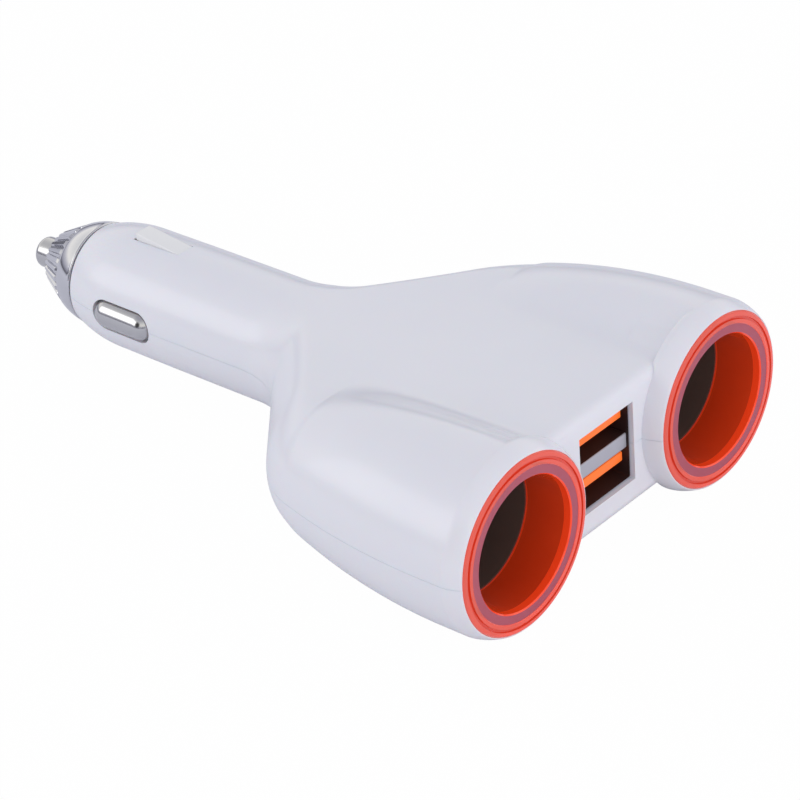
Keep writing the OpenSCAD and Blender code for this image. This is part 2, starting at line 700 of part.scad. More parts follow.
inductor_y = board_front_y + 24;
inductor_rim_t = 1.2;
module inductor_core() {
    color("dimgray") translate([0, inductor_y, board_top_z]) union() {
        cylinder(r = inductor_r, h = inductor_rim_t);
        cylinder(r = inductor_r * 0.5, h = inductor_h);
        translate([0, 0, inductor_h - inductor_rim_t]) cylinder(r = inductor_r, h = inductor_rim_t);
    }
}
module inductor_coil() {
    color("chocolate") translate([0, inductor_y, board_top_z + inductor_rim_t]) difference() {
        cylinder(r = inductor_r - 0.5, h = inductor_h - 2 * inductor_rim_t);
        translate([0, 0, -1]) cylinder(r = inductor_r * 0.5, h = inductor_h);
    }
}
module capacitors() {
    color("navy") for (s = [-1, 1])
        translate([s * 6.3, board_front_y + 31.6, board_top_z]) union() {
            cylinder(r = cap_can_r, h = 1.2);
            cylinder(r = cap_can_r - 0.25, h = 1.8);
            translate([0, 0, 1.8]) cylinder(r = cap_can_r, h = cap_can_h - 1.8);
        }
}
module converter_chips() {
    color("black") for (s = [-1, 1])
        translate([s * 7.9 - 2, board_front_y + 20, board_top_z]) cube([4, 5, 1.5]);
}
led_size = [2, 3, 1.4];
module ring_leds() {
    color("ivory") for (s = [-1, 1])
        translate([s * (board_w / 2 - led_size[0] / 2 - 0.3) - led_size[0] / 2, board_front_y + 1, board_top_z])
            cube(led_size);
}

module housing_screws() {
    color("silver") for (s = [-1, 1]) translate([s * screw_x, screw_y, 0]) union() {
        translate([0, 0, counterbore_z]) mirror([0, 0, 1]) difference() {
            cylinder(r = screw_head_r, h = screw_head_h);
            for (a = [0, 90]) rotate([0, 0, a])
                translate([0, 0, screw_head_h]) cube([0.7, 3, 1.4], center = true);
        }
        translate([0, 0, counterbore_z - eps]) cylinder(r = screw_r, h = screw_tip_z - counterbore_z);
    }
}

// Leads, from the plug's contacts to the board and from the board to the sockets
pad_y = board_front_y + board_len - 1.5;
lead_pad_z = board_top_z + lead_r;
tail_y = can_end_d + bush_flange_t + 0.6 - neck_d;
module positive_leads() {
    color("crimson") {
        swept([[0, fuse_stop_y - 1.25, 0], [0, 4, 0], [0, 1.5, -0.6], [0, -2, -2], [0, -6, -3.6],
               [0, -10, -4.8], [0, pad_y + 3, lead_pad_z + 0.1], [0, pad_y - 1, lead_pad_z]],
              lead_r, [1, 0, 0]);
        for (s = [-1, 1])
            swept([[s * 7, pad_y - 2, lead_pad_z], [s * 9.5, pad_y - 0.5, lead_pad_z + 0.1],
                   [s * 12, pad_y + 0.6, lead_pad_z + 0.8], [s * 15, pad_y + 1.2, -3.6],
                   [s * 18.5, pad_y + 1.2, -1.6], [s * 21.5, pad_y + 0.2, -0.3],
                   [s * 23.5, tail_y + 1.1, 0], [s * 24.6, tail_y + 0.72, 0]],
                  lead_r, [0, 0, 1]);
    }
}
module ground_leads() {
    color("black") for (s = [-1, 1]) {
        swept([[s * (leg_x + contact_t + lead_r), leg_y + 2, 0], [s * (leg_x + contact_t + lead_r), leg_y - 1, 0],
               [s * 6.9, 7, -0.4], [s * 6, 2, -1.4], [s * 4.6, -3, -2.8], [s * 3.6, -8, -4.2],
               [s * 3, pad_y + 3, lead_pad_z + 0.1], [s * 3, pad_y - 1, lead_pad_z]],
              lead_r, [0, 0, 1]);
        swept([[s * 8, board_front_y + 16, lead_pad_z], [s * 10, board_front_y + 16.2, lead_pad_z],
               [s * (side - can_r - 0.1), board_front_y + 17, lead_pad_z + 1.2],
               [s * (side - can_r - lead_r - 0.02), board_front_y + 18.5, lead_pad_z + 4],
               [s * (side - can_r - lead_r - 0.02), board_front_y + 20, -0.5]],
              lead_r, [0, 1, 0]);
    }
}

housing_upper();
housing_lower();
barrel_latch();
fuse_cap();
tip_contact();
fuse_glass();
fuse_ends();
tip_spring();
spring_seat();
side_contact(-1);  // side_contact_left
side_contact(1);  // side_contact_right
light_ring(-1);  // light_ring_left
light_ring(1);  // light_ring_right
socket_shell(-1);  // socket_shell_left
socket_shell(1);  // socket_shell_right
socket_insulator(-1);  // socket_insulator_left
socket_insulator(1);  // socket_insulator_right
socket_contact(-1);  // socket_contact_left
socket_contact(1);  // socket_contact_right
circuit_board();
usb_shell();
usb_divider();
usb_insulator();
usb_contacts();
inductor_core();
inductor_coil();
capacitors();
converter_chips();
ring_leds();
housing_screws();
positive_leads();
ground_leads();
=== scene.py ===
# Twin socket splitter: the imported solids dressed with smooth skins, in plain studio light.
# Lengths are written in millimetres and turned into metres when a mesh is made.
import math

import bmesh
import bpy
import numpy as np
from mathutils import Matrix, Vector


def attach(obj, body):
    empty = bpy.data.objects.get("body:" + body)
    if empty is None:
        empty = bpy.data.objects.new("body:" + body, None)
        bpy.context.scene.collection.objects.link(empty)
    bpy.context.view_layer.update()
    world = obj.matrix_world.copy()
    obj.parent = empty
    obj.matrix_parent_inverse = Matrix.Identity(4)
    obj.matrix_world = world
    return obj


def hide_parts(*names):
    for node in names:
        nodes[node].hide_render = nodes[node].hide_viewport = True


MM = 0.001
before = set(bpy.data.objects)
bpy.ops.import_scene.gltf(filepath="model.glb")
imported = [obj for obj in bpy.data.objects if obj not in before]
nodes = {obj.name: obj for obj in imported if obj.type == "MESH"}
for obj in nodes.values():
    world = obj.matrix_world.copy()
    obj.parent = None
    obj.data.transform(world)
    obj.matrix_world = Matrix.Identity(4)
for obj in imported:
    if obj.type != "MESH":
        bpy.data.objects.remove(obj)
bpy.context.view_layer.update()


# Shape of the moulded body, from the part's own sizes
side = 24.0
tube_r = 15.5
wall = 1.5
side_start = 8.0
side_bow_r = 108.0
side_bow = math.radians(15.2)
shoulder_r = 17.6
flare = math.radians(39.2)
neck_fillet_r = 3.0
deck_half = 10.9
crease_w = 11.0
front_d = 3.5
front_edge_r = 2.0
crest_fall_d = 38.5
end_narrow_d = 36.9
crest_power = 2.3
end_power = 1.7
flare_slim = 0.09
deck_power = 1.5
blend_fillet_r = 15.0
crest_end_y = 6.0
end_round_y = -3.5
barrel_r = 10.45
barrel_straight = 24.0
barrel_len = 36.6
barrel_end_r = 10.38
nose_len = 8.45
nose_curve_r = 24.0
nose_turn = math.asin(nose_len / nose_curve_r)
nose_r = barrel_end_r - nose_curve_r * (1 - math.cos(nose_turn))
barrel_in_r = 8.85
nose_y = barrel_len + nose_len
spigot_r = 7.4
spigot_y = 48.0
half_w = side + tube_r
slit = 0.07
cradle_r = 4.6
lead_hole_r = 1.2
well_r = 3.4

flare_turn = math.pi / 2 - flare
bow_end_d = side_start + side_bow_r * math.sin(side_bow)
bow_end_x = half_w - side_bow_r * (1 - math.cos(side_bow))
shoulder_d = bow_end_d - shoulder_r * math.sin(side_bow)
shoulder_x = bow_end_x - shoulder_r * math.cos(side_bow)
flare_d = shoulder_d + shoulder_r * math.sin(flare_turn)
flare_x = shoulder_x + shoulder_r * math.cos(flare_turn)


def neck_place(neck_r, fillet_r):
    fillet_x = neck_r + fillet_r * (1 - math.cos(flare_turn))
    fillet_d = flare_d + (flare_x - fillet_x) / math.tan(flare_turn)
    return fillet_d, fillet_d + fillet_r * math.sin(flare_turn)


# The solid's neck is a short hollow, the skin blends into the barrel over a longer one
neck_d = neck_place(barrel_r + 0.12, neck_fillet_r)[1]
fillet_d, skin_neck_d = neck_place(barrel_r, blend_fillet_r)


def half_width(d):
    if d < side_start:
        return half_w
    if d < bow_end_d:
        return half_w - side_bow_r + math.sqrt(side_bow_r ** 2 - (d - side_start) ** 2)
    if d < flare_d:
        return shoulder_x + math.sqrt(shoulder_r ** 2 - (d - shoulder_d) ** 2)
    if d < fillet_d:
        return flare_x - (d - flare_d) * math.tan(flare_turn)
    if d < skin_neck_d:
        return barrel_r + blend_fillet_r - math.sqrt(blend_fillet_r ** 2 - (skin_neck_d - d) ** 2)
    return barrel_r


def to_neck(d, start, end=0.0):
    return max(0.0, min(1.0, (d - start) / (neck_d + end - start)))


def crest(d):
    from_r = half_width(min(d, crest_fall_d)) - side
    return barrel_r + (from_r - barrel_r) * (1 - to_neck(d, crest_fall_d, crest_end_y)) ** crest_power


def end_r(d):
    from_r = half_width(min(d, end_narrow_d)) - side
    return barrel_r + (from_r - barrel_r) * (1 - to_neck(d, end_narrow_d, end_round_y) ** end_power)


def deck(d):
    back = max(0.0, front_edge_r - (d - front_d))
    drop = front_edge_r - math.sqrt(front_edge_r ** 2 - back ** 2)
    return min(crest(d), deck_half + (barrel_r - deck_half) * to_neck(d, 0) ** deck_power) - drop


def section(d, skin, n, y):
    w = half_width(d + 0.6 * skin) - skin
    r_end = min(end_r(d) - skin, w)
    c = w - r_end
    top = crest(d) - skin
    low = min(top, deck(d) - skin)
    slim = 4 * flare_slim * math.sin(math.pi * to_neck(d, crest_fall_d))
    row = []
    for k in range(2 * n + 1):
        x = w * math.cos(math.pi / 2 * k / n)
        if abs(x) > c:
            out = min(1.0, (abs(x) - c) / r_end)
            z = top * math.sqrt(max(0.0, 1 - out * out)) * (1 - slim * out ** 2 * (1 - out ** 2))
        else:
            away = min(1.0, (c - abs(x)) / crease_w)
            z = low + (top - low) * (1 + math.cos(math.pi * away)) / 2
        row.append((x, y, z))
    row[0] = (w, y, 0.0)
    row[-1] = (-w, y, 0.0)
    return row


# Mesh helpers
def new_mesh(name, points, faces):
    mesh = bpy.data.meshes.new(name)
    mesh.from_pydata([tuple(c * MM for c in p) for p in points], [], faces)
    bm = bmesh.new()
    bm.from_mesh(mesh)
    bmesh.ops.recalc_face_normals(bm, faces=bm.faces)
    bm.to_mesh(mesh)
    bm.free()
    mesh.validate()
    obj = bpy.data.objects.new(name, mesh)
    bpy.context.scene.collection.objects.link(obj)
    return obj


def rows_solid(name, rows):
    """Closed solid through rows of points, each row an open line whose ends lie on the floor."""
    m = len(rows[0])
    points = [p for row in rows for p in row]
    faces = []
    for i in range(len(rows) - 1):
        a = i * m
        for k in range(m - 1):
            faces.append((a + k, a + k + 1, a + m + k + 1, a + m + k))
        faces.append((a, a + m, a + 2 * m - 1, a + m - 1))
    faces.append(tuple(reversed(range(m))))
    faces.append(tuple((len(rows) - 1) * m + k for k in range(m)))
    return new_mesh(name, points, faces)


def revolve(name, profile, x=0.0, y=0.0, n=128):
    """Solid of (radius, depth) pairs turned about a line along Y. Pairs on the line close it."""
    points = []
    rings = []
    for r, d in profile:
        if r < 1e-6:
            rings.append([len(points)] * n)
            points.append((x, y + d, 0.0))
            continue
        rings.append(list(range(len(points), len(points) + n)))
        for k in range(n):
            a = 2 * math.pi * k / n
            points.append((x + r * math.cos(a), y + d, r * math.sin(a)))
    closed = profile[0][0] > 1e-6 or profile[-1][0] > 1e-6
    pairs = list(zip(rings, rings[1:])) + ([(rings[-1], rings[0])] if closed else [])
    faces = []
    for a, b in pairs:
        for k in range(n):
            j = (k + 1) % n
            quad = []
            for v in (a[k], a[j], b[j], b[k]):
                if v not in quad:
                    quad.append(v)
            if len(quad) > 2:
                faces.append(tuple(quad))
    return new_mesh(name, points, faces)


def arc(cx, cy, r, a0, a1, n):
    """Points round (cx, cy) between two angles in degrees."""
    return [(cx + r * math.cos(math.radians(a0 + (a1 - a0) * i / n)),
             cy + r * math.sin(math.radians(a0 + (a1 - a0) * i / n))) for i in range(n + 1)]


def block(name, low, high, bevel=0.0, segments=3):
    obj = new_mesh(name, [(x, y, z) for x in (low[0], high[0]) for y in (low[1], high[1])
                          for z in (low[2], high[2])],
                   [(0, 1, 3, 2), (4, 6, 7, 5), (0, 4, 5, 1), (2, 3, 7, 6), (0, 2, 6, 4), (1, 5, 7, 3)])
    if bevel:
        round_edges(obj, bevel, segments)
    return obj


def prism(name, outline, x0, x1):
    """Outline of (y, z) pairs drawn out along X."""
    n = len(outline)
    points = [(x0, y, z) for y, z in outline] + [(x1, y, z) for y, z in outline]
    faces = [tuple(range(n)), tuple(reversed(range(n, 2 * n)))]
    faces += [(k, (k + 1) % n, n + (k + 1) % n, n + k) for k in range(n)]
    return new_mesh(name, points, faces)


def round_edges(obj, width, segments=3, angle=40):
    mod = obj.modifiers.new("round", "BEVEL")
    mod.width = width * MM
    mod.segments = segments
    mod.limit_method = "ANGLE"
    mod.angle_limit = math.radians(angle)
    apply_all(obj)


def apply_all(obj):
    bpy.context.view_layer.update()
    graph = bpy.context.evaluated_depsgraph_get()
    mesh = bpy.data.meshes.new_from_object(obj.evaluated_get(graph))
    obj.modifiers.clear()
    old = obj.data
    obj.data = mesh
    mesh.name = obj.name
    bpy.data.meshes.remove(old)


def combine(obj, others, operation):
    for other in others:
        mod = obj.modifiers.new("combine", "BOOLEAN")
        mod.operation = operation
        mod.solver = "MANIFOLD"
        mod.object = other
        apply_all(obj)
        bpy.data.objects.remove(other)
    return obj


def join(obj, others):
    bm = bmesh.new()
    bm.from_mesh(obj.data)
    for other in others:
        bm.from_mesh(other.data)
        bpy.data.objects.remove(other)
    bm.to_mesh(obj.data)
    bm.free()
    return obj


def soften(obj, angle=32):
    """Smooth shading that keeps edges sharper than the angle."""
    mesh = obj.data
    bm = bmesh.new()
    bm.from_mesh(mesh)
    bmesh.ops.remove_doubles(bm, verts=bm.verts, dist=1e-7)
    for f in bm.faces:
        f.smooth = True
    for e in bm.edges:
        e.smooth = len(e.link_faces) == 2 and e.calc_face_angle(0.0) < math.radians(angle)
    bm.to_mesh(mesh)
    bm.free()


def dress(obj, body, node, material):
    """Rides on a body, stands for a node and takes its finish."""
    obj.data.materials.clear()
    obj.data.materials.append(material)
    soften(obj)
    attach(obj, body)
    if node:
        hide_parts(*([node] if isinstance(node, str) else node))
    return obj


# Materials
def colour(hex_code):
    """Linear colour of an sRGB hex code."""
    values = [int(hex_code[i:i + 2], 16) / 255 for i in (0, 2, 4)]
    return tuple(v / 12.92 if v <= 0.04045 else ((v + 0.055) / 1.055) ** 2.4 for v in values) + (1.0,)


def material(name, tone, tone_2, rough, metal=0.0, grain=400.0, bump=0.02, rough_spread=0.06, **more):
    """Two close tones mixed by a soft noise, a varied roughness and a fine surface bump."""
    mat = bpy.data.materials.new(name)
    mat.use_nodes = True
    tree = mat.node_tree
    shader = tree.nodes["Principled BSDF"]
    place = tree.nodes.new("ShaderNodeTexCoord")
    broad = tree.nodes.new("ShaderNodeTexNoise")
    broad.inputs["Scale"].default_value = 60.0
    broad.inputs["Detail"].default_value = 3.0
    fine = tree.nodes.new("ShaderNodeTexNoise")
    fine.inputs["Scale"].default_value = grain
    fine.inputs["Detail"].default_value = 4.0
    mix = tree.nodes.new("ShaderNodeMix")
    mix.data_type = "RGBA"
    mix.inputs["A"].default_value = colour(tone)
    mix.inputs["B"].default_value = colour(tone_2)
    spread = tree.nodes.new("ShaderNodeMapRange")
    spread.inputs["To Min"].default_value = max(0.0, rough - rough_spread)
    spread.inputs["To Max"].default_value = rough + rough_spread
    relief = tree.nodes.new("ShaderNodeBump")
    relief.inputs["Strength"].default_value = bump
    relief.inputs["Distance"].default_value = 0.0002
    link = tree.links.new
    link(place.outputs["Object"], broad.inputs["Vector"])
    link(place.outputs["Object"], fine.inputs["Vector"])
    link(broad.outputs["Fac"], mix.inputs["Factor"])
    link(mix.outputs["Result"], shader.inputs["Base Color"])
    link(fine.outputs["Fac"], spread.inputs["Value"])
    link(spread.outputs["Result"], shader.inputs["Roughness"])
    link(fine.outputs["Fac"], relief.inputs["Height"])
    link(relief.outputs["Normal"], shader.inputs["Normal"])
    shader.inputs["Metallic"].default_value = metal
    for key, value in more.items():
        shader.inputs[key.replace("_", " ")].default_value = value
    return mat


white = material("white_plastic", "ecebf1", "e6e6ee", 0.3, grain=900, bump=0.012, rough_spread=0.03,
                 Coat_Weight=0.35, Coat_Roughness=0.08, Subsurface_Weight=0.12, Subsurface_Scale=0.002)
latch_white = material("latch_plastic", "f0efee", "eaeaec", 0.3, grain=900, bump=0.015, Coat_Weight=0.4,
                       Coat_Roughness=0.1)
chrome = material("chrome", "d9d9dc", "d2d2d6", 0.09, metal=1.0, grain=300, bump=0.004, rough_spread=0.03)
nickel = material("nickel", "cfcfd0", "c6c5c4", 0.16, metal=1.0, grain=600, bump=0.01)
# Ring plastic: the emission on the rim is painted glow, not light from a lamp
ring_rim = material("ring_rim", "ff8570", "fb7b66", 0.1, grain=500, bump=0.008, Transmission_Weight=0.6,
                    IOR=1.45, Coat_Weight=0.4, Coat_Roughness=0.05, Emission_Strength=0.2,
                    Emission_Color=(1.0, 0.09, 0.05, 1.0))
ring_step = material("ring_step", "b85c6c", "aa4f60", 0.45, grain=1200, bump=0.05, Subsurface_Weight=0.2,
                     Subsurface_Scale=0.002)
# Painted glow: an emissive band at the front and back ends of the bore
ring_painted_glow = material("ring_painted_glow", "ff4a1e", "fb4319", 0.2, grain=300, bump=0.01, Coat_Weight=0.5,
                     Emission_Strength=0.2, Emission_Color=(1.0, 0.065, 0.012, 1.0))
# Painted shade in the groove: a darker red, with a faint painted glow
ring_groove_shade = material("ring_groove_shade", "e04428", "cf381e", 0.15, grain=300, bump=0.01, Coat_Weight=0.5,
                       Emission_Strength=0.1, Emission_Color=(1.0, 0.06, 0.02, 1.0))
# Bore: two reds mixed at random, with a faint emission as painted glow
ring_bore = material("ring_bore", "e84a20", "a82408", 0.18, grain=300, bump=0.01, Coat_Weight=0.6,
                     Coat_Roughness=0.05, Emission_Strength=0.12, Emission_Color=(1.0, 0.07, 0.012, 1.0))
dark_steel = material("dark_steel", "8f867c", "7d756d", 0.34, metal=0.6, grain=250, bump=0.02)
steel = material("plated_steel", "cacad0", "bfbfc6", 0.3, metal=1.0, grain=800, bump=0.02)
# Painted highlight: the steel's front edges in a lighter, less metallic finish
steel_highlight = material("steel_painted_highlight", "c6c7d0", "bcbdc7", 0.4, metal=0.4, grain=800, bump=0.02)
shade = material("shaded_inside", "32211f", "291a1a", 0.5, grain=500, bump=0.03)
brass = material("brass", "d1a85c", "c39a50", 0.22, metal=1.0, grain=700, bump=0.02)
# Orange tongue plastic; its emission is painted glow
orange = material("tongue_plastic", "ff7a2c", "fb7022", 0.35, grain=900, bump=0.02, Emission_Strength=0.3,
                  Emission_Color=(1.0, 0.18, 0.025, 1.0))
bush = material("bush_board", "5c3620", "4c2c1a", 0.6, grain=500, bump=0.1)
board = material("board_resist", "1d5a2c", "184d25", 0.35, grain=300, bump=0.02)
ferrite = material("ferrite", "3a3a3d", "303033", 0.55, grain=900, bump=0.1)
copper = material("enamelled_copper", "b8602c", "9c4d20", 0.3, metal=1.0, grain=200, bump=0.1)
can_alu = material("capacitor_sleeve", "c9cbd0", "b9bcc2", 0.25, metal=1.0, grain=400, bump=0.02)
chip = material("chip_resin", "1c1c1f", "151518", 0.5, grain=1500, bump=0.05)
lamp = material("lamp_resin", "efe6cf", "e6dcc2", 0.3, grain=500, bump=0.02)
red_lead = material("red_insulation", "a81414", "941010", 0.4, grain=600, bump=0.03)
black_lead = material("black_insulation", "1d1d20", "161618", 0.4, grain=600, bump=0.03)
screw_steel = material("screw_steel", "a6a6aa", "98989c", 0.3, metal=1.0, grain=500, bump=0.03)
spring_wire = material("spring_wire", "8f8f94", "828287", 0.25, metal=1.0, grain=500, bump=0.02)
glass = material("fuse_glass", "e6f2f4", "e0eef0", 0.03, grain=300, bump=0.002, rough_spread=0.01,
                 Transmission_Weight=0.9, IOR=1.5)


# Moulded shells
slot_y = 32.2
slot_len = 12.7
slot_w = 5.6
latch_y = 24.7
latch_len = 10.8
latch_w = 3.4
latch_gap = 0.2
latch_out = 1.1
lip_d = 0.2
fit_gap = 0.1
ring_r = 14.3
lip_r = ring_r + 0.25
lip_start_d = 0.45
lip_len = front_d + 0.1 - lip_start_d
sleeve_r = 12.1
socket_r = 10.7
can_t = 0.4
sleeve_d = 8.8
can_r = socket_r + can_t
can_stop_d = sleeve_d + 0.5
collar_d = can_stop_d + 1.7
usb_z = 0.7
usb_w = 12.8
usb_h = 13.4
usb_gap = 0.15
screw_x = 8.0
screw_y = -10.0


def skin_rows(n):
    rows = []
    for i in range(9):
        a = math.radians(90 * i / 8)
        rows.append(section(front_d + front_edge_r * (1 - math.cos(a)), 0, n,
                            front_d + front_edge_r * (1 - math.cos(a)) - neck_d))
    start = front_d + front_edge_r
    steps = 96
    for i in range(1, steps + 1):
        d = start + (fillet_d - start) * i / steps
        rows.append(section(d, 0, n, d - neck_d))
    for i in range(1, 25):
        d = skin_neck_d - blend_fillet_r * math.sin(flare_turn * (24 - i) / 24)
        rows.append(section(d, 0, n, d - neck_d))
    circle = [(math.cos(math.pi / 2 * k / n), math.sin(math.pi / 2 * k / n)) for k in range(2 * n + 1)]
    start = skin_neck_d - neck_d
    turned = [(barrel_r, start + (barrel_straight - start) * i / 16) for i in range(1, 17)]
    turned += [(barrel_r + (barrel_end_r - barrel_r) * i / 12,
                barrel_straight + (barrel_len - barrel_straight) * i / 12) for i in range(1, 13)]
    turned += [(barrel_end_r - nose_curve_r * (1 - math.cos(nose_turn * i / 12)),
                barrel_len + nose_curve_r * math.sin(nose_turn * i / 12)) for i in range(1, 13)]
    turned += [(nose_r - 0.25, nose_y + 0.03), (spigot_r, nose_y + 0.03), (spigot_r, spigot_y)]
    for r, y in turned:
        rows.append([(r * c, y, r * s) for c, s in circle])
    return rows


def lowered(rows, drop):
    """Rows with a straight skirt below the parting plane."""
    return [[(row[0][0], row[0][1], -drop)] + row + [(row[-1][0], row[-1][1], -drop)] for row in rows]


def shell(name, flip):
    n = 64
    body = rows_solid(name, lowered(skin_rows(n), 0.5))
    cavity_rows = [section(d, wall, 24, d - neck_d)
                   for d in np.linspace(front_d + wall, neck_d - 2, 28)]
    cuts = [rows_solid("cavity", lowered(cavity_rows, 1.0))]
    lip = [(10.2, front_d + 1), (10.2, lip_d + 0.15), (ring_r + 0.15, lip_d + 0.15)]
    for i in range(13):
        t = i / 12
        lip.append((lip_r + (tube_r + 0.005 - lip_r) * (1 - (1 - t) ** 1.7), lip_start_d + lip_len * t))
    lip.append((tube_r - 0.3, front_d + 1))
    collar = [(10.2, front_d + 0.4), (14.3, front_d + 0.4), (14.3, collar_d), (10.2, collar_d)]
    mouth = [(0, 0), (ring_r + 0.04, 0), (ring_r + 0.04, front_d + 0.2),
             (sleeve_r + fit_gap, front_d + 0.2), (sleeve_r + fit_gap, can_stop_d),
             (can_r + fit_gap, can_stop_d), (can_r + fit_gap, collar_d + 1), (0, collar_d + 1)]
    adds = []
    mouths = []
    for s in (-1, 1):
        adds.append(revolve("lip", lip, s * side, -neck_d, 160))
        adds.append(revolve("collar", collar, s * side, -neck_d, 96))
        mouths.append(revolve("mouth", mouth, s * side, -neck_d, 160))
    hollow = [(0, -6), (barrel_in_r, -6), (barrel_in_r, 40), (barrel_in_r - 0.6, nose_y - 2),
              (cradle_r, nose_y - 2), (cradle_r, 7.5), (lead_hole_r, 7.5), (lead_hole_r, 9),
              (well_r, 9), (well_r, 52), (0, 52)]
    cuts.append(revolve("hollow", hollow))
    combine(body, cuts, "DIFFERENCE")
    combine(body, adds, "UNION")
    late = mouths
    window = (usb_w / 2 + usb_gap, usb_h / 2 + usb_gap)
    late.append(block("window", (-window[0], front_d - 1 - neck_d, usb_z - window[1]),
                      (window[0], front_d + 3 - neck_d, usb_z + window[1])))
    for s in (-1, 1):
        span = slot_len - slot_w
        pill = [(slot_y + span / 2 + slot_w / 2 * math.cos(math.pi * k / 24 - math.pi / 2),
                 slot_w / 2 * math.sin(math.pi * k / 24 - math.pi / 2)) for k in range(25)]
        pill += [(slot_y - span / 2 + slot_w / 2 * math.cos(math.pi * k / 24 + math.pi / 2),
                  slot_w / 2 * math.sin(math.pi * k / 24 + math.pi / 2)) for k in range(25)]
        late.append(prism("slot", pill, s * (barrel_r - 3), s * (barrel_r + 2)))
    if flip:
        for s in (-1, 1):
            bore = [(0, -20), (2.75, -20), (2.75, -6.6), (1.4, -6.6), (1.4, 1), (0, 1)]
            hole = revolve("bore", bore, n=64)
            hole.data.transform(turn_up(s * screw_x, screw_y))
            late.append(hole)
    else:
        late.append(block("latch_slot", (-latch_w / 2 - slit, latch_y + 1.2, barrel_in_r - 1.5),
                          (latch_w / 2 + slit, latch_y + latch_len + latch_gap + 0.2, 14)))
    if flip:
        body.data.transform(flat_mirror())
        body.data.flip_normals()
    combine(body, late, "DIFFERENCE")
    low, high = (-0.02, 40) if flip else (-40, 0.02)
    combine(body, [block("rest", (-60, -80, low), (60, 80, high))], "DIFFERENCE")
    return body


def turn_up(x, y):
    """Matrix that lays a shape turned about Y upright at (x, y)."""
    return Matrix.Translation((x * MM, y * MM, 0)) @ Matrix.Rotation(math.radians(90), 4, "X")


def flat_mirror():
    return Matrix.Diagonal((1, 1, -1, 1))


upper = shell("shell_upper", False)
dress(upper, "housing", "housing_upper", white)
lower = shell("shell_lower", True)
dress(lower, "housing", "housing_lower", white)

# Latch: a wedge rooted at its body end
end_z = barrel_r + latch_out
root_r = 0.8
root_z = barrel_r - 0.95
root = arc(latch_y + root_r, root_z, root_r, 270, 90, 10)
latch = prism("latch_tongue", root + [(latch_y + latch_len, end_z), (latch_y + latch_len, end_z - 1.5)],
              -latch_w / 2, latch_w / 2)
round_edges(latch, 0.28, 4, 50)
dress(latch, "latch", "barrel_latch", latch_white)

# Fuse cap with its band, step and ribs
cap_y = nose_y + 0.5
cap_step_y = 49.6
band_len = cap_step_y - cap_y
cap_cone_y = cap_step_y + 0.4
cone_len = 5.2
cap_end_y = cap_cone_y + cone_len
band_r = 7.7
rib_back_r = 7.05
cone_tip_r = 4.3
rib_count = 28
outline = [(7.5, cap_y)]
outline += arc(nose_r - 0.3, cap_y + 0.25, 0.25, -90, 0, 5)
for i in range(1, 12):
    t = i / 12
    outline.append((nose_r - 0.05 + (band_r - nose_r + 0.05) * t + 0.8 * t * (1 - t), cap_y + band_len * t))
outline += arc(band_r - 0.22, cap_step_y - 0.2, 0.2, 20, 90, 4)
outline += [(rib_back_r + 0.12, cap_step_y + 0.02), (rib_back_r + 0.02, cap_step_y + 0.2)]
points = []
rings = []
seg = rib_count * 14


def add_ring(r, y, rib=0.0):
    ring = []
    for k in range(seg):
        phase = (k % 14) / 14
        lift = max(0.0, min(1.0, (0.34 - abs(phase - 0.5)) / 0.09))
        rr = r + rib * lift
        a = 2 * math.pi * k / seg
        ring.append(len(points))
        points.append((rr * math.cos(a), y, rr * math.sin(a)))
    rings.append(ring)


for r, y in outline:
    add_ring(r, y)
for i in range(17):
    t = i / 16
    fade = min(1.0, t / 0.03, (1 - t) / 0.06)
    add_ring(rib_back_r + (cone_tip_r - rib_back_r) * t, cap_cone_y + cone_len * t, 0.45 * fade)
for r, y in arc(cone_tip_r - 0.3, cap_end_y - 0.1, 0.25, 20, 90, 4):
    add_ring(r, y)
for r, y in [(2.85, cap_end_y), (2.85, cap_end_y - 1.4), (3.6, cap_end_y - 1.4), (3.6, spigot_y + 0.3),
             (7.5, spigot_y + 0.3)]:
    add_ring(r, y)
faces = []
for a, b in zip(rings, rings[1:] + rings[:1]):
    for k in range(seg):
        j = (k + 1) % seg
        faces.append((a[k], a[j], b[j], b[k]))
cap = new_mesh("fuse_cap_skin", points, faces)
notch = block("notch", (-band_r - 0.7, cap_step_y - 0.5, -2.45), (-band_r + 0.7, cap_step_y + 0.5, -1.55))
combine(cap, [notch], "DIFFERENCE")
dress(cap, "cap", "fuse_cap", chrome)

# Tip contact
flange_y = cap_end_y - 1.4 - 1.5 - 0.05
tip_y = cap_end_y + 5.2
pin_r = 2.65
pin_corner = 1.5
tip_profile = [(0, flange_y), (3.1, flange_y), (3.2, flange_y + 0.1), (3.2, flange_y + 1.4),
               (3.1, flange_y + 1.5), (pin_r, flange_y + 1.5)]
tip_profile += [(pin_r - pin_corner + pin_corner * math.cos(math.radians(a)),
                 tip_y - pin_corner + 0.8 * pin_corner * math.sin(math.radians(a))) for a in range(0, 91, 9)]
tip_profile += [(0.6, tip_y - 0.1), (0, tip_y)]
tip = revolve("tip_pin", tip_profile, n=96)
dress(tip, "tip", "tip_contact", nickel)


